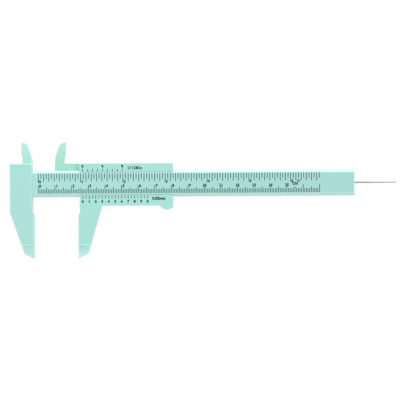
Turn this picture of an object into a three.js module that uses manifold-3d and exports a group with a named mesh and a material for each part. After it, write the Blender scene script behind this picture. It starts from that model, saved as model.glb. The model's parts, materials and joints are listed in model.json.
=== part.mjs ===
// A plastic vernier caliper, lying on its back with its scales up, in millimetres.
// +X runs along the beam away from the fixed jaw, +Y towards the inside jaws, +Z out of the scales.
// Inside the group, x is measured from the fixed jaw's face and y from the beam's centreline.
import * as THREE from "three";
import { mergeVertices } from "three/addons/utils/BufferGeometryUtils.js";
import Module from "manifold-3d";

const wasm = await Module();
wasm.setup();

// Depths, from the back to the front
const webThickness = 2.2; // the slider's web behind the beam, with the moving inside jaw
const slideClearance = 0.3; // between the beam and the slider, all round
const beamThickness = 3.8;
const lipRise = 0.15; // how far the slider's lips and the fixed head stand proud of the scale
const beamBack = webThickness + slideClearance;
const beamFront = beamBack + beamThickness;
const front = beamFront + lipRise;

// Beam
const beamReach = 194.2; // its right end, from the fixed jaw's face
const beamHeight = 16;
const beamBevel = 1.5; // width of the bevel along both front edges
const beamBevelDepth = 1.1;
const beamHalf = beamHeight / 2;

// Head and outside jaws
const headWidth = 14.5; // of the fixed head, left of its face
const headTop = 12.3; // top of the fixed head and of the slider, above the centreline
const jawReach = 45.2; // the outside jaws' tips, below the centreline
const jawTipWidth = 5.9;
const jawTipRise = 3.1; // from the tip up to its outer corner
const fixedShoulder = 17.2; // where the fixed jaw's outer edge starts to slant, below the centreline
const jawRelief = 0.8; // how far the faces stand back above the measuring stretch
const jawReliefEnd = 17.4;
const jawReliefRamp = 1.8; // over which they come forward again
const tipFacetStart = 37.5; // below here both sides of the jaws are thinned towards the face
const tipFacetDepth = 0.8;

// Slider
const opening = 26.6; // between the outside jaws as the caliper lies
const sliderReach = 57.2; // its right end, from its own face
const sliderBottom = 13.4; // below the centreline
const movingJawWidth = 14.3; // of the moving jaw, where it leaves the slider
const lipCover = 1; // how far the lips reach over the beam's bevels
const thumbRadius = 5.2;
const thumbDrop = 2.4; // of the thumb rest, below the slider's bottom
const thumbInset = 3.8; // of the thumb rest's centre, from the slider's end
const thumbFillet = 2;

// Inside jaws: the fixed one stands in front, and the moving one passes behind it and the beam
const insideReach = 25.5; // the tips, above the centreline
const insideOffset = 7.5; // the measuring edges, left of the outside faces
const insideWidth = insideOffset - jawRelief; // so that the fixed blade ends flush with the head's side
const insideTipWidth = 3.5;
const insideTipDrop = 1.3;
const insideRelief = 0.6;
const insideReliefEnd = 17; // above the centreline
const insideSetBack = 1; // of the fixed blade, behind the head's front
const insideTaper = 1; // how much thinner the blades are at their tips
const barTuck = 1; // how far the moving jaw's bar reaches behind the beam

// Depth rod and the plate that holds it
const rodDiameter = 1;
const rodClearance = 0.3; // to the sides and the bottom of its groove
const rodInset = 0.2; // how deep the rod lies behind the beam's back face
const rodSetBack = 0.8; // of its tip inside the beam's end, with the jaws closed
const rodAnchor = 30; // its hooked end, from the slider's face
const grooveStart = 8; // of its groove in the beam's back, from the fixed jaw's face
const rodBend = 1; // radius of the bend's centreline
const rodTipBevel = 0.2;
const hookFloor = 0.4; // of the plate left below the hook
const plateStart = 12; // from the slider's face
const plateLength = 36;
const plateHeight = 13;
const plateFlange = 0.7; // thickness of its rim
const plateRim = 2.6; // width of its rim
const plateFit = 0.1; // sideways gap in its pocket
const pegDiameter = 1.4;
const pegInset = 1.2; // of the pegs, from the plate's edge
const pegSink = 0.1; // of the pegs' ends, inside the back face

// Scales
const zeroOffset = 2.7; // both zero lines, right of the faces
const metricPitch = 1;
const metricDivisions = 170;
const twoFigureDivisionFrom = 100; // long lines stand under two figures from here
const twoFigureDivisionTo = 150;
const inchPitch = 25.4 / 16;
const inchDivisions = 107;
const metricRoot = 5.9; // below the centreline
const inchRoot = 6.3; // above the centreline
const metricTick = 2.6;
const metricHalfTick = 3.6;
const metricLongTick = 5;
const metricTwoFigureTick = 4.3;
const inchTick = 3.3;
const inchEighthTick = 4.9;
const inchLongTick = 5.8;
const tickWidth = 0.4;
const tickDepth = 0.12;
const metricVernierLength = 39 * metricPitch;
const metricVernierDivisions = 20;
const metricVernierNumberEvery = 2;
const inchVernierLength = 15 * inchPitch;
const inchVernierDivisions = 8;
const inchVernierNumberEvery = 4;
const vernierMargin = 0.35; // from the lip's edge to the lines
const vernierTick = 1.5;
const vernierLongTick = 1.7;

const overrun = 1; // of every cut, past the surface that it leaves
const circleDivisions = 16;
const bendDivisions = 6;

const plastic = new THREE.MeshStandardMaterial({ color: 0xa9e2d5, roughness: 0.42, metalness: 0 });
const backPlastic = new THREE.MeshStandardMaterial({ color: 0xa2dccf, roughness: 0.5, metalness: 0 });
const steel = new THREE.MeshStandardMaterial({ color: 0xb9bcbd, roughness: 0.28, metalness: 1 });

// Solids and outlines

function solid(geometry) {
  const bare = geometry.index ? geometry.clone() : geometry;
  bare.deleteAttribute("normal");
  bare.deleteAttribute("uv");
  const merged = mergeVertices(bare);
  return new wasm.Manifold(
    new wasm.Mesh({
      numProp: 3,
      vertProperties: merged.getAttribute("position").array,
      triVerts: new Uint32Array(merged.index.array),
    }),
  );
}

function geometryOf(made) {
  const { numProp, vertProperties, triVerts } = made.getMesh();
  const positions = new Float32Array((vertProperties.length / numProp) * 3);
  for (let i = 0; i * numProp < vertProperties.length; i++)
    positions.set(vertProperties.subarray(i * numProp, i * numProp + 3), i * 3);
  const geometry = new THREE.BufferGeometry();
  geometry.setAttribute("position", new THREE.BufferAttribute(positions, 3));
  geometry.setIndex(new THREE.BufferAttribute(triVerts, 1));
  geometry.computeVertexNormals();
  return geometry;
}

function outline(points) {
  return new THREE.Shape(points.map(([u, v]) => new THREE.Vector2(u, v)));
}

function unit(axis) {
  const vector = new THREE.Vector3();
  vector[axis] = 1;
  return vector;
}

// The axes that an outline's own x and y become, and last the one that it is drawn out along.
const alongX = ["y", "z", "x"];
const alongY = ["z", "x", "y"];
const alongZ = ["x", "y", "z"];

function prism(shape, order, from, to) {
  const axes = order.map(unit);
  const geometry = new THREE.ExtrudeGeometry(shape, {
    depth: to - from,
    bevelEnabled: false,
    curveSegments: circleDivisions,
  });
  geometry.applyMatrix4(new THREE.Matrix4().makeBasis(...axes));
  geometry.translate(...axes[2].multiplyScalar(from).toArray());
  return solid(geometry);
}

function box(x, y, z) {
  const geometry = new THREE.BoxGeometry(x[1] - x[0], y[1] - y[0], z[1] - z[0]);
  geometry.translate((x[0] + x[1]) / 2, (y[0] + y[1]) / 2, (z[0] + z[1]) / 2);
  return solid(geometry);
}

function post(diameter, x, y, z) {
  const shape = new THREE.Shape().absarc(x, y, diameter / 2, 0, 2 * Math.PI);
  return prism(shape, alongZ, z[0], z[1]);
}

function joined(pieces) {
  return pieces.reduce((whole, piece) => whole.add(piece));
}

// Jaws

// Thins a jaw's tip from both sides: nothing at its outer edge, and most at its face.
// The side is +1 where the jaw lies right of its face, and -1 where it lies left of it.
function tipFacets(side, outerWidth) {
  const depth = tipFacetDepth * (1 + overrun / outerWidth);
  const wedges = [
    [front, 1],
    [0, -1],
  ].map(([level, outward]) =>
    outline([
      [level + outward * overrun, -side * overrun],
      [level - outward * depth, -side * overrun],
      [level, side * outerWidth],
      [level + outward * overrun, side * outerWidth],
    ]),
  );
  return wedges.map((wedge) => prism(wedge, alongY, -jawReach - overrun, -tipFacetStart));
}

// Width of a jaw at a depth below the centreline, between its shoulder and the corner of its tip.
function widthAt(depth, shoulder, shoulderWidth) {
  const share = (depth - shoulder) / (jawReach - jawTipRise - shoulder);
  return shoulderWidth + (jawTipWidth - shoulderWidth) * share;
}

// The blade of an inside jaw: straight at its measuring edge, curved at the other, thinner to its tip.
// The side is +1 where the blade lies right of its edge, and -1 where it lies left of it.
function insideBlade(side, edge, foot, z) {
  const shape = new THREE.Shape();
  shape.moveTo(edge + side * insideRelief, foot);
  shape.lineTo(edge + side * insideRelief, insideReliefEnd - insideRelief);
  shape.lineTo(edge, insideReliefEnd);
  shape.lineTo(edge, insideReach);
  shape.lineTo(edge + side * insideTipWidth, insideReach - insideTipDrop);
  shape.quadraticCurveTo(
    edge + side * insideWidth,
    insideReliefEnd,
    edge + side * insideWidth,
    headTop,
  );
  shape.lineTo(edge + side * insideWidth, foot);
  const rise = insideReach - headTop;
  const taper = outline([
    [headTop, z[1]],
    [headTop, z[1] + overrun],
    [insideReach + overrun, z[1] + overrun],
    [insideReach + overrun, z[1] - insideTaper * (1 + overrun / rise)],
  ]);
  const wedge = prism(taper, alongX, edge - insideWidth - overrun, edge + insideWidth + overrun);
  return prism(shape, alongZ, z[0], z[1]).subtract(wedge);
}

// Graduations

// One engraved line, from its root towards the beam's middle or away from it.
function line(x, root, tip, level) {
  return box(
    [x - tickWidth / 2, x + tickWidth / 2],
    [Math.min(root, tip), Math.max(root, tip)],
    [level - tickDepth, level + overrun],
  );
}

function metricLines() {
  return Array.from({ length: metricDivisions + 1 }, (_, i) => {
    const twoFigures = i >= twoFigureDivisionFrom && i <= twoFigureDivisionTo;
    const long = twoFigures ? metricTwoFigureTick : metricLongTick;
    const height = i % 10 === 0 ? long : i % 5 === 0 ? metricHalfTick : metricTick;
    return line(zeroOffset + i * metricPitch, -metricRoot, height - metricRoot, beamFront);
  });
}

function inchLines() {
  return Array.from({ length: inchDivisions + 1 }, (_, i) => {
    const height = i % 16 === 0 ? inchLongTick : i % 2 === 0 ? inchEighthTick : inchTick;
    return line(zeroOffset + i * inchPitch, inchRoot, inchRoot - height, beamFront);
  });
}

// A vernier on a lip: the side is +1 above the beam and -1 below it.
function vernierLines(side, length, divisions, longEvery) {
  const root = side * (beamHalf - lipCover + vernierMargin);
  return Array.from({ length: divisions + 1 }, (_, i) => {
    const height = i % longEvery === 0 ? vernierLongTick : vernierTick;
    return line(zeroOffset + (i * length) / divisions, root, root + side * height, front);
  });
}

function inchVernierLines() {
  return vernierLines(1, inchVernierLength, inchVernierDivisions, inchVernierNumberEvery);
}

function metricVernierLines() {
  return vernierLines(-1, metricVernierLength, metricVernierDivisions, metricVernierNumberEvery);
}

// Beam

function beamBar() {
  const section = outline([
    [-beamHalf, beamBack],
    [beamHalf, beamBack],
    [beamHalf, beamFront - beamBevelDepth],
    [beamHalf - beamBevel, beamFront],
    [beamBevel - beamHalf, beamFront],
    [-beamHalf, beamFront - beamBevelDepth],
  ]);
  return prism(section, alongX, -headWidth / 2, beamReach);
}

function fixedHead() {
  const shape = outline([
    [-headWidth, headTop],
    [-headWidth, -fixedShoulder],
    [-jawTipWidth, jawTipRise - jawReach],
    [0, -jawReach],
    [0, -jawReliefEnd - jawReliefRamp],
    [-jawRelief, -jawReliefEnd],
    [-jawRelief, headTop],
  ]);
  const facetWidth = widthAt(tipFacetStart, fixedShoulder, headWidth);
  // The moving inside jaw's bar passes behind the head's top.
  const rebate = box(
    [-headWidth - overrun, overrun],
    [beamHalf - barTuck - slideClearance, headTop + overrun],
    [-overrun, beamBack],
  );
  return tipFacets(-1, facetWidth)
    .concat(rebate)
    .reduce((head, cut) => head.subtract(cut), prism(shape, alongZ, 0, front));
}

function rodGroove() {
  const half = rodDiameter / 2 + rodClearance;
  return box(
    [grooveStart, beamReach + overrun],
    [-half, half],
    [beamBack - overrun, beamBack + rodInset + rodDiameter + rodClearance],
  );
}

function beamSolid() {
  const blade = insideBlade(1, -insideOffset, beamHalf, [beamBack, front - insideSetBack]);
  return joined([beamBar(), fixedHead(), blade])
    .subtract(rodGroove())
    .subtract(joined(metricLines().concat(inchLines())));
}

// Slider, with x from its own face

function sliderShape() {
  const bottom = -sliderBottom;
  const thumbX = sliderReach - thumbInset;
  const thumbY = bottom - thumbDrop + thumbRadius;
  const filletY = bottom - thumbFillet;
  const reach = thumbRadius + thumbFillet;
  const filletX = thumbX - Math.sqrt(reach ** 2 - (thumbY - filletY) ** 2);
  const meeting = Math.atan2(filletY - thumbY, filletX - thumbX);
  const shape = new THREE.Shape();
  shape.moveTo(jawRelief, headTop);
  shape.lineTo(jawRelief, -jawReliefEnd);
  shape.lineTo(0, -jawReliefEnd - jawReliefRamp);
  shape.lineTo(0, -jawReach);
  shape.lineTo(jawTipWidth, jawTipRise - jawReach);
  shape.lineTo(movingJawWidth, bottom);
  shape.lineTo(filletX, bottom);
  shape.absarc(filletX, filletY, thumbFillet, Math.PI / 2, meeting + Math.PI, true);
  shape.absarc(thumbX, thumbY, thumbRadius, meeting, -Math.acos(thumbInset / thumbRadius), false);
  shape.lineTo(sliderReach, headTop);
  return shape;
}

// The beam's own section and its clearance, open to the front between the lips.
function channel() {
  const half = beamHalf + slideClearance;
  const slope = beamBevelDepth / beamBevel;
  const shoulder = beamFront - beamBevelDepth + slideClearance * (Math.hypot(1, slope) - slope);
  const lip = beamHalf - lipCover;
  const lipLevel = shoulder + slope * (half - lip);
  const section = outline([
    [-half, webThickness],
    [half, webThickness],
    [half, shoulder],
    [lip, lipLevel],
    [lip, front + overrun],
    [-lip, front + overrun],
    [-lip, lipLevel],
    [-half, shoulder],
  ]);
  return prism(section, alongX, -overrun, sliderReach + overrun);
}

function pegPlaces() {
  const xs = [plateStart + pegInset, plateStart + plateLength - pegInset];
  const ys = [pegInset - plateHeight / 2, plateHeight / 2 - pegInset];
  return xs.flatMap((x) => ys.map((y) => [x, y]));
}

// The plate's space: a window through the web and a shallow pocket round it, both grown by a fit.
function plateSpace(fit, back, top) {
  const x = [plateStart - fit, plateStart + plateLength + fit];
  const half = plateHeight / 2 + fit;
  const pocket = box(x, [-half, half], [back, plateFlange]);
  const window = box(
    [x[0] + plateRim, x[1] - plateRim],
    [plateRim - half, half - plateRim],
    [back, top],
  );
  return pocket.add(window);
}

function sliderBodySolid() {
  const barFoot = beamHalf - barTuck;
  const bar = box(
    [-insideOffset - insideWidth, jawRelief + overrun],
    [barFoot, headTop],
    [0, webThickness],
  );
  const blade = insideBlade(-1, -insideOffset, barFoot, [0, webThickness]);
  const cuts = [channel(), plateSpace(plateFit, -overrun, webThickness + slideClearance)]
    .concat(tipFacets(1, widthAt(tipFacetStart, sliderBottom, movingJawWidth)))
    .concat(inchVernierLines())
    .concat(metricVernierLines());
  const body = cuts.reduce((whole, cut) => whole.subtract(cut), prism(sliderShape(), alongZ, 0, front));
  const pegs = pegPlaces().map(([x, y]) => post(pegDiameter, x, y, [pegSink, webThickness]));
  return joined([body, bar, blade, ...pegs]);
}

function backPlateSolid() {
  const holes = pegPlaces().map(([x, y]) =>
    post(pegDiameter + 2 * plateFit, x, y, [-overrun, webThickness + overrun]),
  );
  const hook = post(rodDiameter + 2 * rodClearance, rodAnchor, 0, [
    hookFloor,
    webThickness + overrun,
  ]);
  return holes.concat(hook).reduce(
    (plate, cut) => plate.subtract(cut),
    plateSpace(0, 0, webThickness),
  );
}

// Depth rod, with x from the slider's face: up out of the plate, round a bend and along the groove.

function rodPath() {
  const level = beamBack + rodInset + rodDiameter / 2;
  const bend = Array.from({ length: bendDivisions + 1 }, (_, i) => {
    const angle = (i / bendDivisions) * (Math.PI / 2);
    return [rodAnchor + rodBend * (1 - Math.cos(angle)), level - rodBend * (1 - Math.sin(angle)), angle];
  });
  const tip = beamReach - rodSetBack;
  return [
    [rodAnchor, hookFloor + plateFit, 0, rodDiameter / 2],
    ...bend.map((place) => [...place, rodDiameter / 2]),
    [tip - rodTipBevel, level, Math.PI / 2, rodDiameter / 2],
    [tip, level, Math.PI / 2, rodDiameter / 2 - rodTipBevel],
  ];
}

// A ring of points round each place of the path, with a fan over each end.
function rodSolid() {
  const path = rodPath();
  const positions = [];
  const faces = [];
  for (const [x, z, angle, radius] of path)
    for (let i = 0; i < circleDivisions; i++) {
      const turn = (i / circleDivisions) * 2 * Math.PI;
      const across = radius * Math.cos(turn);
      positions.push(x - across * Math.cos(angle), radius * Math.sin(turn), z + across * Math.sin(angle));
    }
  const first = positions.length / 3;
  const last = first + 1;
  const [start, end] = [path[0], path[path.length - 1]];
  positions.push(start[0], 0, start[1], end[0], 0, end[1]);
  for (let i = 0; i < circleDivisions; i++) {
    const next = (i + 1) % circleDivisions;
    const top = (path.length - 1) * circleDivisions;
    faces.push(first, i, next, last, top + next, top + i);
    for (let ring = 0; ring < top; ring += circleDivisions) {
      const above = ring + circleDivisions;
      faces.push(ring + i, above + i, above + next, ring + i, above + next, ring + next);
    }
  }
  const geometry = new THREE.BufferGeometry();
  geometry.setAttribute("position", new THREE.Float32BufferAttribute(positions, 3));
  geometry.setIndex(faces);
  return solid(geometry);
}

// Assembly

function mesh(name, made, material) {
  const piece = new THREE.Mesh(geometryOf(made), material);
  piece.name = name;
  return piece;
}

const slider = new THREE.Group();
slider.position.x = opening;
slider.add(
  mesh("slider_body", sliderBodySolid(), plastic),
  mesh("slider_back_plate", backPlateSolid(), backPlastic),
  mesh("depth_rod", rodSolid(), steel),
);

const caliper = new THREE.Group();
caliper.add(mesh("beam", beamSolid(), plastic), slider);
// The part's origin is the middle of its own length and width, on the surface that it lies on.
const reach = opening + beamReach - rodSetBack;
caliper.position.set((headWidth - reach) / 2, (jawReach - insideReach) / 2, 0);

export default caliper;
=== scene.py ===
"""A plastic vernier caliper lying on a white table, in millimetres unless a name says otherwise."""
import json
import math

import bmesh
import bpy
from mathutils import Matrix, Vector


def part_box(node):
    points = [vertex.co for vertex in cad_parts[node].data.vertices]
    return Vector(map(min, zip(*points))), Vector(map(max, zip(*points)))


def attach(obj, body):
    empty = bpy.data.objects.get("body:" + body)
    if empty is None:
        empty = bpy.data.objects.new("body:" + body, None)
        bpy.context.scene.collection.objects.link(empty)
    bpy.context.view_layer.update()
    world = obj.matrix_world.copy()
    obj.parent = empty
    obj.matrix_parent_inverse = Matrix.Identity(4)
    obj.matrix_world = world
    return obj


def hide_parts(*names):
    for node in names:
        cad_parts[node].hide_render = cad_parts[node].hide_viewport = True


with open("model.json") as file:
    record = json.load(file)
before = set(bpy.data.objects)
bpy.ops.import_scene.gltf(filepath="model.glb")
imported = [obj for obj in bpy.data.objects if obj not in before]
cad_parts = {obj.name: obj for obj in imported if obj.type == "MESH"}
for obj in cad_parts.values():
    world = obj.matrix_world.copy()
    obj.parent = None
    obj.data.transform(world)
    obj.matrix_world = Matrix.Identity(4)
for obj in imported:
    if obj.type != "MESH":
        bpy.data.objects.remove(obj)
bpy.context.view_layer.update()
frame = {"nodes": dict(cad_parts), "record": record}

MM = 0.001

# The camera: its place, its turn about each axis in degrees, its lens, and how near and far it sees
CAMERA_PLACE = (-40.13, 11.86, 798.9)
CAMERA_YAW = 2.697
CAMERA_PITCH = 0.882
CAMERA_ROLL = 0.303
CAMERA_LENS = 118.11
CAMERA_SENSOR = 36
CAMERA_NEAR = 10
CAMERA_FAR = 20000

# The table and the room: what their white gives the object, and what the camera sees
WHITE = (1, 1, 1)
TABLE_BOUNCE = (0.95, 0.95, 0.95)
TABLE_SHADED = (0.13, 0.13, 0.13)
TABLE_OWN_WHITE = 0.91
TABLE_HALF = 4000
ROOM_LIGHT = 0.72
ROOM_SEEN = 1

# The lamp's place, the width of its disk, and its power in watts
WINDOW_PLACE = (100, 1200, 1100)
WINDOW_WIDTH = 900
WINDOW_WATTS = 12

# Corners nearer than this are one, and what lies this near a level lies in it
JOIN_DISTANCE = 0.001
PRINT_JOIN_DISTANCE = 0.0005
LEVEL_TOLERANCE = 0.01

# Neighbouring faces make one flat face below the first angle, and a crease above the second
FLAT_ANGLE = math.radians(0.5)
CREASE_ANGLE = math.radians(40)

# A moulding's faces have its first material, number 0. These are the numbers of its edges' materials, two
# painted highlights
EDGE_MATERIAL = 1
FRONT_EDGE_MATERIAL = 2

# The rounding of the mouldings' outer edges, where they are sharp and long enough
BEAM_ROUNDING = 0.5
SLIDER_ROUNDING = 0.2
PLATE_ROUNDING = 0.15
ROD_ROUNDING = 0
ROUNDING_STEPS = 3
ROUND_PROFILE = 0.5
SHARP_ANGLE = math.radians(28)
SMALLEST_ROUNDED_EDGE = 0.55

# Edges that stay sharp: the back plate's above the first level, inside the slider, and the slider's in the
# channel for the beam, which reaches this far from the beam's centreline and starts at the last level
PLATE_ROUNDED_BELOW = 0.1
CHANNEL_HALF = 8.4
CHANNEL_BACK = 2.1

# The slopes along the beam's front edges are told from other faces by the tilt and the area, and get the
# edges' painted highlight
LEAST_BEVEL_TILT = 0.4
MOST_BEVEL_TILT = 0.8
LEAST_BEVEL_AREA = 100

# The rounding between them and the front has a third material, a softer painted highlight; it's told by its
# rise and its area
LEAST_STRIP_RISE = 0.83
LEAST_STRIP_AREA = 15

# The head's rounded edge has it too where the beam leaves the head: between these places right of the fixed
# face, and this far above and below the beam's centreline
HEAD_EDGE = (-1.5, -0.5)
HEAD_EDGE_HALF = 6.5

# The engraved lines are pockets this deep, cut by boxes this high. A pocket's rim has at most this many
# sides, and the ink in it ends just below the surface
LINE_DEPTH = 0.12
CUTTER_RISE = 1
MOST_RIM_SIDES = 8
INK_BELOW_SURFACE = 0.02

# Numerals and unit marks, printed on the surface. Boldness and swell are shares of a letter's size
NUMERAL_HEIGHT = 1.65
VERNIER_NUMERAL_HEIGHT = 1.45
PRINT_RISE = 0.02
PRINT_SINK = 0.02
NUMERAL_BOLDNESS = 0.035
TWO_FIGURE_BOLDNESS = 0.045
VERNIER_NUMERAL_BOLDNESS = 0.055
LETTER_SWELL = 0.02
LETTER_STEPS = 4
PLAIN_SPACING = 1
WIDE_SPACING = 1.2

# Where the marks stand: right of the zero lines, and above the beam's centreline
ZERO_OFFSET = 2.7
CENTIMETRE = 10
METRIC_NUMERALS_Y = -1.3
METRIC_NUMERAL_SHIFT = 1.1
METRIC_LAST_NUMERAL = 15
FIRST_OF_TWO_FIGURES = 10
INCH = 25.4
SIXTEENTH = INCH / 16
INCH_NUMERALS_Y = 1.25
INCH_NUMERAL_SHIFT = 1.0
INCH_LAST_NUMERAL = 6
UNIT_IN_PLACE = (157.2, 1.4)
UNIT_CM_PLACE = (155.2, -0.5)
INCH_VERNIER_NUMERALS_Y = 10.5
INCH_VERNIER_LENGTH = 15 * SIXTEENTH
INCH_VERNIER_DIVISIONS = 8
INCH_VERNIER_NUMERAL_EVERY = 4
INCH_VERNIER_UNIT_PLACE = (31.2, 9.5)
METRIC_VERNIER_NUMERALS_Y = -10.75
METRIC_VERNIER_LENGTH = 39
METRIC_VERNIER_LAST_NUMERAL = 10
METRIC_VERNIER_UNIT_PLACE = (45.8, -9.0)
UNIT_HEIGHT = 1.4
UNIT_BOLDNESS = 0.02
VERNIER_UNIT_HEIGHT = 1.7
VERNIER_UNIT_BOLDNESS = 0.035

# Where the mouldings change their shade, from the first place to the second, above the beam's centreline: up
# the head's top into painted shade where the inside blades rise, up the inside blades into painted light,
# down into a band of painted highlight at the outside jaws' step, which also lightens the step's shadow, out
# of it again, and down to their tips into painted light
SHADE_AT_BLADE_ROOT = (8, 14)
BLADE_LIGHT = (12, 21)
STEP_HIGHLIGHT_BAND = (-36.2, -36.7)
END_OF_STEP_HIGHLIGHT = (-38, -38.6)
TIP_LIGHT = (-39, -44)

# And leftwards, right of a jaw's face: along the beam, paler towards the head, into painted shade in the
# moving inside jaw's bar, deepest by the slider, and along that bar, where the painted shade is lighter
BEAM_PALING = (155, 0)
DEEPEST_BAR_SHADE = (0.5, -0.5)
BAR_SHADE_FADING = (-0.9, -3.7)

# The rod's grey pales towards its tip, between these places
ROD_PALING = (92, 117)

# Mints in linear red, green and blue: the deep and the pale one of each moulding, and the one of each zone.
# The root and bar mints are painted shade, the blade and tip mints painted light, the step mints a painted
# highlight, and the two edge mints painted highlights on the rounded edges and the beam's slopes
BEAM_MINT = ((0.36, 0.68, 0.627), (0.38, 0.705, 0.652))
BEAM_LEFT_MINT = (0.402, 0.743, 0.686)
BEAM_ROOT_SHADE_MINT = (0.368, 0.743, 0.643)
BEAM_BLADE_LIT_MINT = (0.46, 0.8, 0.714)
BEAM_STEP_HIGHLIGHT_MINT = (0.42, 0.804, 0.745)
BEAM_TIP_LIT_MINT = (0.515, 0.83, 0.76)
SLIDER_MINT = ((0.38, 0.745, 0.665), (0.4, 0.77, 0.695))
SLIDER_BAR_DEEP_SHADE_MINT = (0.335, 0.69, 0.588)
SLIDER_BAR_SHADE_MINT = (0.392, 0.74, 0.635)
SLIDER_BLADE_LIT_MINT = (0.415, 0.775, 0.67)
SLIDER_STEP_HIGHLIGHT_MINT = (0.445, 0.845, 0.765)
SLIDER_JAW_MINT = (0.387, 0.757, 0.672)
SLIDER_TIP_LIT_MINT = (0.55, 0.9, 0.83)
PLATE_MINT = ((0.33, 0.64, 0.58), (0.35, 0.67, 0.61))
EDGE_HIGHLIGHT_MINT = ((0.62, 0.87, 0.84), (0.65, 0.89, 0.86))
SOFT_FRONT_HIGHLIGHT_MINT = ((0.52, 0.8, 0.76), (0.54, 0.82, 0.78))

# The rod's two greys and its tip's, and the ink's two darks
STEEL_GREY = ((0.22, 0.22, 0.22), (0.28, 0.28, 0.275))
STEEL_TIP_GREY = (0.47, 0.47, 0.46)
INK = ((0.008, 0.02, 0.018), (0.02, 0.045, 0.04))

# Roughness of each surface's smoothest and roughest places, the ink's roughness and shine, and the plastic's
# refractive index
MOULDED_SATIN = (0.36, 0.46)
PLATE_SATIN = (0.44, 0.56)
EDGE_SATIN = (0.3, 0.4)
FRONT_EDGE_SATIN = (0.32, 0.42)
WIRE_POLISH = (0.26, 0.36)
INK_ROUGHNESS = 0.7
INK_SHINE = 0.2
PLASTIC_IOR = 1.5

# Noises: (waves per metre, detail). What they give lies mostly between the two shares
MINT_CLOUDS = (45, 2)
SATIN_GRAIN = (900, 4)
MOULD_RELIEF = (2500, 3)
MOULD_RELIEF_DEPTH = 0.006
WIRE_STREAKS = (4000, 3)
STREAK_STRETCH = (0.02, 1, 1)
NO_STRETCH = (1, 1, 1)
INK_COAT = (1500, 3)
NOISE_SHARES = (0.3, 0.7)


def mount_place(name):
    """The place of one of the record's mounts, in millimetres."""
    found = next(m for m in frame["record"]["mounts"] if m["name"] == name)
    return Vector(found["pos_m"]) / MM


FIXED_FACE = mount_place("fixed_outside_face").x
MOVING_FACE = mount_place("moving_outside_face").x
CENTRELINE = mount_place("depth_rod_tip").y
SLIDER_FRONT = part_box("slider_body")[1].z / MM
LIP_RISE = 0.15
BEAM_FRONT = SLIDER_FRONT - LIP_RISE


def new_object(name, data):
    made = bpy.data.objects.new(name, data)
    bpy.context.scene.collection.objects.link(made)
    return made


# Mouldings

def cad_copy(node):
    """The CAD node's mesh as a bmesh with its split corners joined."""
    shape = bmesh.new()
    shape.from_mesh(frame["nodes"][node].data)
    bmesh.ops.remove_doubles(shape, verts=shape.verts, dist=JOIN_DISTANCE * MM)
    return shape


def lies_at(corner, level):
    return abs(corner.co.z / MM - level) < LEVEL_TOLERANCE


def line_floors(node, level):
    """The rectangles (low x, low y, high x, high y) of the engraved lines whose floor is at that level."""
    shape = cad_copy(node)
    floor = [f for f in shape.faces if all(lies_at(v, level) for v in f.verts)]
    rectangles = []
    seen = set()
    for face in floor:
        if face in seen:
            continue
        island = [face]
        seen.add(face)
        for member in island:
            for edge in member.edges:
                for other in edge.link_faces:
                    if other in floor and other not in seen:
                        seen.add(other)
                        island.append(other)
        corners = [v.co / MM for f in island for v in f.verts]
        xs = [c.x for c in corners]
        ys = [c.y for c in corners]
        rectangles.append((min(xs), min(ys), max(xs), max(ys)))
    shape.free()
    return sorted(rectangles)


def boxes(name, rectangles, bottom, top):
    """One mesh with an upright box on each rectangle."""
    shape = bmesh.new()
    for x0, y0, x1, y1 in rectangles:
        size = Vector((x1 - x0, y1 - y0, top - bottom)) * MM
        middle = Vector(((x0 + x1) / 2, (y0 + y1) / 2, (bottom + top) / 2)) * MM
        bmesh.ops.create_cube(shape, matrix=Matrix.Translation(middle) @ Matrix.Diagonal((*size, 1)))
    mesh = bpy.data.meshes.new(name)
    shape.to_mesh(mesh)
    shape.free()
    return mesh


def fill_lines(shape, level):
    """Closes the engraved lines, so that the surface round them is one flat face again."""
    pocket = [f for f in shape.faces if any(lies_at(v, level) for v in f.verts)]
    bmesh.ops.delete(shape, geom=pocket, context="FACES")
    rims = [e for e in shape.edges if e.is_boundary]
    bmesh.ops.holes_fill(shape, edges=rims, sides=MOST_RIM_SIDES)


def above_plate_rim(place):
    """Whether a point of the back plate lies inside the slider, in millimetres."""
    return place.z > PLATE_ROUNDED_BELOW


def in_channel(place):
    """Whether a point of the slider lies in the channel that the beam runs in, in millimetres."""
    return abs(place.y - CENTRELINE) < CHANNEL_HALF and place.z > CHANNEL_BACK


def nowhere(place):
    return False


def round_edges(shape, radius, sharp_at):
    """Rounds the outer edges, and gives the rounding the second material, a painted highlight.

    The short edges of small holes and steps stay sharp, and so do edges with both ends where sharp_at says.
    """
    edges = [
        e for e in shape.edges
        if e.is_convex and e.calc_face_angle() > SHARP_ANGLE and e.calc_length() > SMALLEST_ROUNDED_EDGE * MM
        and not all(sharp_at(v.co / MM) for v in e.verts)
    ]
    bmesh.ops.bevel(
        shape, geom=edges, offset=radius * MM, offset_type="OFFSET", segments=ROUNDING_STEPS,
        profile=ROUND_PROFILE, affect="EDGES", clamp_overlap=False, material=EDGE_MATERIAL,
    )


def shade(mesh_object):
    """Smooth shading that keeps flat faces flat."""
    shape = bmesh.new()
    shape.from_mesh(mesh_object.data)
    for face in shape.faces:
        face.smooth = True
    for edge in shape.edges:
        edge.smooth = len(edge.link_faces) == 2 and edge.calc_face_angle() < CREASE_ANGLE
    shape.to_mesh(mesh_object.data)
    shape.free()
    weighted = mesh_object.modifiers.new("flat_faces", "WEIGHTED_NORMAL")
    weighted.keep_sharp = True


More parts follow.
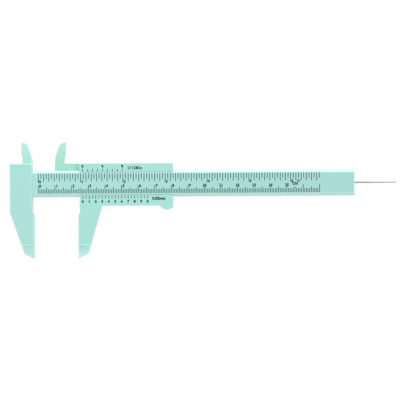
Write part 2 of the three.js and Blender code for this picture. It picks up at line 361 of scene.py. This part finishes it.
def engrave(mesh_object, rectangles, bottom):
    """Cuts the lines into the surface, and leaves the result in the mesh."""
    cutter = new_object("line_cutter", boxes("line_cutter", rectangles, bottom, bottom + CUTTER_RISE))
    cut = mesh_object.modifiers.new("lines", "BOOLEAN")
    cut.operation = "DIFFERENCE"
    cut.solver = "EXACT"
    cut.object = cutter
    evaluated = mesh_object.evaluated_get(bpy.context.evaluated_depsgraph_get())
    cut_mesh = bpy.data.meshes.new_from_object(evaluated)
    mesh_object.modifiers.clear()
    mesh_object.data = cut_mesh
    bpy.data.objects.remove(cutter)


def is_long_bevel(face):
    """Whether it is one of the slopes along the beam's front edges."""
    tilted = LEAST_BEVEL_TILT < abs(face.normal.y) < MOST_BEVEL_TILT
    return tilted and face.calc_area() > LEAST_BEVEL_AREA * MM ** 2


def is_front_strip(face):
    """Whether it is one of the strips that round the beam's front into its slopes."""
    return face.normal.z > LEAST_STRIP_RISE and face.calc_area() > LEAST_STRIP_AREA * MM ** 2


def is_head_edge(face):
    """Whether it is one of the strips that round the fixed head's edge above the beam."""
    middle = face.calc_center_median() / MM
    left, right = HEAD_EDGE
    return left < middle.x - FIXED_FACE < right and abs(middle.y - CENTRELINE) < HEAD_EDGE_HALF


def mark_roundings(shape):
    """Gives the rounded faces at the scale's borders the third material, a softer painted highlight."""
    for side in (-1, 1):
        rounded = [f for f in shape.faces if f.material_index == EDGE_MATERIAL]
        edges = {e for f in rounded for e in f.edges}
        corners = {v for f in rounded for v in f.verts}
        bmesh.ops.bisect_plane(
            shape, geom=[*rounded, *edges, *corners],
            plane_co=Vector((0, CENTRELINE + side * HEAD_EDGE_HALF, 0)) * MM, plane_no=(0, 1, 0),
        )
    for face in shape.faces:
        if face.material_index == EDGE_MATERIAL and (is_front_strip(face) or is_head_edge(face)):
            face.material_index = FRONT_EDGE_MATERIAL


def moulding(name, node, body, materials, radius, surface=None, sharp_at=nowhere):
    """A copy of the CAD node with rounded edges, in the materials of its faces and of its edges; the edges'
    ones are painted highlights.

    Surface is the level of its engraved lines, if it has any. Edges stay sharp where sharp_at says so.
    """
    shape = cad_copy(node)
    level = surface - LINE_DEPTH if surface else None
    if level:
        fill_lines(shape, level)
    bmesh.ops.dissolve_limit(shape, angle_limit=FLAT_ANGLE, verts=shape.verts, edges=shape.edges)
    # The slopes along the beam's front edges get the edges' material, a painted highlight
    for face in shape.faces:
        if is_long_bevel(face):
            face.material_index = EDGE_MATERIAL
    if radius:
        round_edges(shape, radius, sharp_at)
        mark_roundings(shape)
    mesh = bpy.data.meshes.new(name)
    shape.to_mesh(mesh)
    shape.free()
    piece = new_object(name, mesh)
    mesh_materials(piece, materials)
    if level:
        engrave(piece, line_floors(node, level), level)
    shade(piece)
    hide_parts(node)
    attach(piece, body)


def mesh_materials(mesh_object, materials):
    """Puts the materials in the object's slots; its faces keep their slot's number."""
    numbers = [face.material_index for face in mesh_object.data.polygons]
    mesh_object.data.materials.clear()
    for material in materials:
        mesh_object.data.materials.append(material)
    mesh_object.data.polygons.foreach_set("material_index", numbers)


# Ink

def line_ink(name, node, body, surface, material):
    """The ink that fills a scale's engraved lines."""
    level = surface - LINE_DEPTH
    lines = new_object(name, boxes(name, line_floors(node, level), level, surface - INK_BELOW_SURFACE))
    mesh_materials(lines, [material])
    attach(lines, body)


def add_letters(shape, name, mark, surface):
    """Adds a printed mark as thin pads. It is (text, x, y, height, letter spacing, boldness)."""
    text, x, y, height, spacing, boldness = mark
    curve = bpy.data.curves.new(name, "FONT")
    curve.body = text
    curve.space_character = spacing
    curve.align_x = "CENTER"
    curve.align_y = "CENTER"
    curve.size = 1
    curve.resolution_u = LETTER_STEPS
    letters = new_object(name, curve)
    bpy.context.view_layer.update()
    scale = height * MM / letters.dimensions.y
    curve.offset = boldness
    curve.bevel_depth = LETTER_SWELL
    curve.bevel_resolution = 0
    evaluated = letters.evaluated_get(bpy.context.evaluated_depsgraph_get())
    outline = evaluated.to_mesh()
    lowest = min(v.co.y for v in outline.vertices)
    highest = max(v.co.y for v in outline.vertices)
    middle_z = surface + (PRINT_RISE - PRINT_SINK) / 2
    thickness = (PRINT_RISE + PRINT_SINK) * MM / (2 * LETTER_SWELL)
    outline.transform(Matrix.Translation((0, -(lowest + highest) / 2, 0)))
    outline.transform(Matrix.Diagonal((scale, scale, thickness, 1)))
    outline.transform(Matrix.Translation(Vector((x, y, middle_z)) * MM))
    shape.from_mesh(outline)
    evaluated.to_mesh_clear()
    bpy.data.objects.remove(letters)


def printed(name, marks, body, surface, material):
    """Printed words and numerals."""
    shape = bmesh.new()
    for mark in marks:
        add_letters(shape, name, mark, surface)
    bmesh.ops.remove_doubles(shape, verts=shape.verts, dist=PRINT_JOIN_DISTANCE * MM)
    mesh = bpy.data.meshes.new(name)
    shape.to_mesh(mesh)
    shape.free()
    pads = new_object(name, mesh)
    mesh_materials(pads, [material])
    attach(pads, body)


def numeral(number, x, y):
    boldness = NUMERAL_BOLDNESS if number < FIRST_OF_TWO_FIGURES else TWO_FIGURE_BOLDNESS
    return (str(number), x, CENTRELINE + y, NUMERAL_HEIGHT, PLAIN_SPACING, boldness)


def vernier_numeral(number, x, y):
    height = VERNIER_NUMERAL_HEIGHT
    return (str(number), x, CENTRELINE + y, height, PLAIN_SPACING, VERNIER_NUMERAL_BOLDNESS)


def unit(text, zero, place):
    x, y = place
    return (text, zero + x, CENTRELINE + y, UNIT_HEIGHT, PLAIN_SPACING, UNIT_BOLDNESS)


def vernier_unit(text, zero, place, spacing):
    x, y = place
    return (text, zero + x, CENTRELINE + y, VERNIER_UNIT_HEIGHT, spacing, VERNIER_UNIT_BOLDNESS)


def main_scale_marks():
    zero = FIXED_FACE + ZERO_OFFSET
    marks = []
    for number in range(METRIC_LAST_NUMERAL + 1):
        shift = METRIC_NUMERAL_SHIFT if number < FIRST_OF_TWO_FIGURES else 0
        marks.append(numeral(number, zero + CENTIMETRE * number + shift, METRIC_NUMERALS_Y))
    for number in range(INCH_LAST_NUMERAL + 1):
        marks.append(numeral(number, zero + INCH * number + INCH_NUMERAL_SHIFT, INCH_NUMERALS_Y))
    marks.append(unit("in", zero, UNIT_IN_PLACE))
    marks.append(unit("cm", zero, UNIT_CM_PLACE))
    return marks


def vernier_marks():
    zero = MOVING_FACE + ZERO_OFFSET
    marks = []
    for number in range(0, INCH_VERNIER_DIVISIONS + 1, INCH_VERNIER_NUMERAL_EVERY):
        x = zero + INCH_VERNIER_LENGTH * number / INCH_VERNIER_DIVISIONS
        marks.append(vernier_numeral(number, x, INCH_VERNIER_NUMERALS_Y))
    for number in range(METRIC_VERNIER_LAST_NUMERAL + 1):
        x = zero + METRIC_VERNIER_LENGTH * number / METRIC_VERNIER_LAST_NUMERAL
        figure = number % METRIC_VERNIER_LAST_NUMERAL
        marks.append(vernier_numeral(figure, x, METRIC_VERNIER_NUMERALS_Y))
    marks.append(vernier_unit("1/128in", zero, INCH_VERNIER_UNIT_PLACE, WIDE_SPACING))
    marks.append(vernier_unit("0.05mm", zero, METRIC_VERNIER_UNIT_PLACE, PLAIN_SPACING))
    return marks


# Materials

def new_material(name):
    material = bpy.data.materials.new(name)
    material.use_nodes = True
    return material, material.node_tree.nodes["Principled BSDF"]


def noise(material, waves, stretch=NO_STRETCH):
    """A noise in the piece's own coordinates."""
    scale, detail = waves
    nodes = material.node_tree.nodes
    links = material.node_tree.links
    place = nodes.new("ShaderNodeTexCoord")
    stretched = nodes.new("ShaderNodeMapping")
    stretched.inputs["Scale"].default_value = stretch
    made = nodes.new("ShaderNodeTexNoise")
    made.inputs["Scale"].default_value = scale
    made.inputs["Detail"].default_value = detail
    links.new(place.outputs["Object"], stretched.inputs["Vector"])
    links.new(stretched.outputs["Vector"], made.inputs["Vector"])
    return made.outputs["Fac"]


def blend_colours(material, factor, one, other):
    """A colour between two, each a colour or another node's output, by a factor from a noise or a place."""
    mix = material.node_tree.nodes.new("ShaderNodeMix")
    mix.data_type = "RGBA"
    for socket, colour in (("A", one), ("B", other)):
        if isinstance(colour, tuple):
            mix.inputs[socket].default_value = (*colour, 1)
        else:
            material.node_tree.links.new(colour, mix.inputs[socket])
    material.node_tree.links.new(factor, mix.inputs["Factor"])
    return mix.outputs["Result"]


def between(material, factor, low, high):
    """A value between two, by a factor from a noise."""
    spread = material.node_tree.nodes.new("ShaderNodeMapRange")
    least, most = NOISE_SHARES
    spread.inputs["From Min"].default_value = least
    spread.inputs["From Max"].default_value = most
    spread.inputs["To Min"].default_value = low
    spread.inputs["To Max"].default_value = high
    material.node_tree.links.new(factor, spread.inputs["Value"])
    return spread.outputs["Result"]


def bump(material, shader, height, distance):
    """A small relief, distance in millimetres."""
    relief = material.node_tree.nodes.new("ShaderNodeBump")
    relief.inputs["Distance"].default_value = distance * MM
    material.node_tree.links.new(height, relief.inputs["Height"])
    material.node_tree.links.new(relief.outputs["Normal"], shader.inputs["Normal"])


def ramp(material, axis, start, end):
    """A factor that rises from 0 to 1 between two places along an axis of the piece, in millimetres."""
    nodes = material.node_tree.nodes
    links = material.node_tree.links
    place = nodes.new("ShaderNodeTexCoord")
    axes = nodes.new("ShaderNodeSeparateXYZ")
    rise = nodes.new("ShaderNodeMapRange")
    rise.inputs["From Min"].default_value = start * MM
    rise.inputs["From Max"].default_value = end * MM
    links.new(place.outputs["Object"], axes.inputs["Vector"])
    links.new(axes.outputs[axis], rise.inputs["Value"])
    return rise.outputs["Result"]


def zone_along_y(paling, colour):
    """What lies past a place that is measured from the beam's centreline."""
    start, end = paling
    return ("Y", CENTRELINE + start, CENTRELINE + end, colour)


def left_zone(face, paling, colour):
    """What lies left of a place that is measured from a jaw's face."""
    start, end = paling
    return ("X", face + start, face + end, colour)


def mint_plastic(name, mints, satin, zones=()):
    """Moulded plastic in mint with a fine satin grain.

    Its shade wanders slowly between two mints, and turns to another in each (axis, start, end, colour) zone;
    most zones are painted light or shade.
    """
    material, shader = new_material(name)
    links = material.node_tree.links
    shade_of_mint = blend_colours(material, noise(material, MINT_CLOUDS), *mints)
    for axis, start, end, colour in zones:
        shade_of_mint = blend_colours(material, ramp(material, axis, start, end), shade_of_mint, colour)
    links.new(shade_of_mint, shader.inputs["Base Color"])
    links.new(between(material, noise(material, SATIN_GRAIN), *satin), shader.inputs["Roughness"])
    bump(material, shader, noise(material, MOULD_RELIEF), MOULD_RELIEF_DEPTH)
    shader.inputs["IOR"].default_value = PLASTIC_IOR
    return material


def beam_plastic():
    """The beam's mint, paler to the left, with painted shade at the blade's root, painted light up the blade
    and at the jaw's tip, and a painted highlight at its step.
    """
    zones = [
        left_zone(FIXED_FACE, BEAM_PALING, BEAM_LEFT_MINT),
        zone_along_y(SHADE_AT_BLADE_ROOT, BEAM_ROOT_SHADE_MINT),
        zone_along_y(BLADE_LIGHT, BEAM_BLADE_LIT_MINT),
        zone_along_y(STEP_HIGHLIGHT_BAND, BEAM_STEP_HIGHLIGHT_MINT),
        zone_along_y(END_OF_STEP_HIGHLIGHT, BEAM_LEFT_MINT),
        zone_along_y(TIP_LIGHT, BEAM_TIP_LIT_MINT),
    ]
    return mint_plastic("beam_mint", BEAM_MINT, MOULDED_SATIN, zones)


def slider_plastic():
    """The slider's mint, with painted shade deepening the inside jaw's bar, painted light up its blade and
    at the outside jaw's tip, and a painted highlight at its step.
    """
    zones = [
        left_zone(MOVING_FACE, DEEPEST_BAR_SHADE, SLIDER_BAR_DEEP_SHADE_MINT),
        left_zone(MOVING_FACE, BAR_SHADE_FADING, SLIDER_BAR_SHADE_MINT),
        zone_along_y(BLADE_LIGHT, SLIDER_BLADE_LIT_MINT),
        zone_along_y(STEP_HIGHLIGHT_BAND, SLIDER_STEP_HIGHLIGHT_MINT),
        zone_along_y(END_OF_STEP_HIGHLIGHT, SLIDER_JAW_MINT),
        zone_along_y(TIP_LIGHT, SLIDER_TIP_LIT_MINT),
    ]
    return mint_plastic("slider_mint", SLIDER_MINT, MOULDED_SATIN, zones)


def drawn_steel():
    """Bright wire with fine streaks along its length, palest at its tip."""
    material, shader = new_material("drawn_steel")
    links = material.node_tree.links
    shader.inputs["Metallic"].default_value = 1
    streaks = noise(material, WIRE_STREAKS, STREAK_STRETCH)
    grey = blend_colours(material, streaks, *STEEL_GREY)
    grey = blend_colours(material, ramp(material, "X", *ROD_PALING), grey, STEEL_TIP_GREY)
    links.new(grey, shader.inputs["Base Color"])
    links.new(between(material, streaks, *WIRE_POLISH), shader.inputs["Roughness"])
    return material


def dark_ink():
    """Dark print with a slightly uneven coat."""
    material, shader = new_material("ink")
    coat = blend_colours(material, noise(material, INK_COAT), *INK)
    material.node_tree.links.new(coat, shader.inputs["Base Color"])
    shader.inputs["Roughness"].default_value = INK_ROUGHNESS
    shader.inputs["Specular IOR Level"].default_value = INK_SHINE
    return material


# Camera, light and floor

def camera():
    data = bpy.data.cameras.new("camera")
    data.sensor_width = CAMERA_SENSOR
    data.lens = CAMERA_LENS
    data.clip_start = CAMERA_NEAR * MM
    data.clip_end = CAMERA_FAR * MM
    made = new_object("camera", data)
    made.matrix_world = (
        Matrix.Translation(Vector(CAMERA_PLACE) * MM)
        @ Matrix.Rotation(-math.radians(CAMERA_YAW), 4, "Y")
        @ Matrix.Rotation(-math.radians(CAMERA_PITCH), 4, "X")
        @ Matrix.Rotation(-math.radians(CAMERA_ROLL), 4, "Z")
    )
    bpy.context.scene.camera = made


def seen_by_eye_or_gloss(tree):
    """1 for camera, glossy and transmission rays, and 0 for the light that falls on the object."""
    path = tree.nodes.new("ShaderNodeLightPath")
    either = path.outputs["Is Camera Ray"]
    for ray in ("Is Glossy Ray", "Is Transmission Ray"):
        highest = tree.nodes.new("ShaderNodeMath")
        highest.operation = "MAXIMUM"
        tree.links.new(either, highest.inputs[0])
        tree.links.new(path.outputs[ray], highest.inputs[1])
        either = highest.outputs[0]
    return either


def table_white():
    """White that takes a soft shadow: part of it is its own, and the rest is the light that falls on it."""
    material = bpy.data.materials.new("white_table")
    material.use_nodes = True
    tree = material.node_tree
    tree.nodes.clear()
    out = tree.nodes.new("ShaderNodeOutputMaterial")
    paper = tree.nodes.new("ShaderNodeBsdfDiffuse")
    seen = seen_by_eye_or_gloss(tree)
    tone = tree.nodes.new("ShaderNodeMix")
    tone.data_type = "RGBA"
    tone.inputs["A"].default_value = (*TABLE_BOUNCE, 1)
    tone.inputs["B"].default_value = (*TABLE_SHADED, 1)
    tree.links.new(seen, tone.inputs["Factor"])
    tree.links.new(tone.outputs["Result"], paper.inputs["Color"])
    glow = tree.nodes.new("ShaderNodeEmission")
    glow.inputs["Color"].default_value = (*WHITE, 1)
    share = tree.nodes.new("ShaderNodeMath")
    share.operation = "MULTIPLY"
    share.inputs[1].default_value = TABLE_OWN_WHITE
    tree.links.new(seen, share.inputs[0])
    tree.links.new(share.outputs[0], glow.inputs["Strength"])
    both = tree.nodes.new("ShaderNodeAddShader")
    tree.links.new(paper.outputs[0], both.inputs[0])
    tree.links.new(glow.outputs[0], both.inputs[1])
    tree.links.new(both.outputs[0], out.inputs["Surface"])
    return material


def white_floor():
    material = table_white()
    shape = bmesh.new()
    bmesh.ops.create_grid(shape, x_segments=1, y_segments=1, size=TABLE_HALF * MM)
    mesh = bpy.data.meshes.new("table")
    shape.to_mesh(mesh)
    shape.free()
    floor = new_object("table", mesh)
    mesh_materials(floor, [material])


def room_light():
    """An even pale room, seen white by the camera and in reflections."""
    world = bpy.data.worlds.new("room")
    world.use_nodes = True
    bpy.context.scene.world = world
    tree = world.node_tree
    background = tree.nodes["Background"]
    background.inputs["Color"].default_value = (*WHITE, 1)
    strength = tree.nodes.new("ShaderNodeMapRange")
    strength.inputs["To Min"].default_value = ROOM_LIGHT
    strength.inputs["To Max"].default_value = ROOM_SEEN
    tree.links.new(seen_by_eye_or_gloss(tree), strength.inputs["Value"])
    tree.links.new(strength.outputs["Result"], background.inputs["Strength"])


def window_light():
    """A wide soft lamp that faces the caliper from beyond its top edge."""
    data = bpy.data.lights.new("window", "AREA")
    data.shape = "DISK"
    data.size = WINDOW_WIDTH * MM
    data.energy = WINDOW_WATTS
    lamp = new_object("window", data)
    lamp.location = Vector(WINDOW_PLACE) * MM
    lamp.rotation_mode = "QUATERNION"
    lamp.rotation_quaternion = (-lamp.location).to_track_quat("-Z", "Y")


# The object

beam_mint = beam_plastic()
slider_mint = slider_plastic()
plate_mint = mint_plastic("plate_mint", PLATE_MINT, PLATE_SATIN)
# The edges' two mints are painted highlights on the rounded edges and the beam's slopes
highlit_edges = mint_plastic("highlit_edges", EDGE_HIGHLIGHT_MINT, EDGE_SATIN)
softly_highlit_front = mint_plastic("softly_highlit_front", SOFT_FRONT_HIGHLIGHT_MINT, FRONT_EDGE_SATIN)
steel = drawn_steel()
ink = dark_ink()

moulding(
    "beam_moulding", "beam", "frame",
    [beam_mint, highlit_edges, softly_highlit_front], BEAM_ROUNDING, BEAM_FRONT,
)
moulding(
    "slider_moulding", "slider_body", "slider",
    [slider_mint, highlit_edges], SLIDER_ROUNDING, SLIDER_FRONT, in_channel,
)
moulding(
    "back_plate", "slider_back_plate", "slider",
    [plate_mint, highlit_edges], PLATE_ROUNDING, sharp_at=above_plate_rim,
)
moulding("depth_rod_wire", "depth_rod", "slider", [steel], ROD_ROUNDING)

line_ink("main_scale_lines", "beam", "frame", BEAM_FRONT, ink)
line_ink("vernier_lines", "slider_body", "slider", SLIDER_FRONT, ink)
printed("main_scale_numerals", main_scale_marks(), "frame", BEAM_FRONT, ink)
printed("vernier_numerals", vernier_marks(), "slider", SLIDER_FRONT, ink)

white_floor()
room_light()
window_light()
camera()
bpy.context.scene.view_settings.view_transform = "Standard"
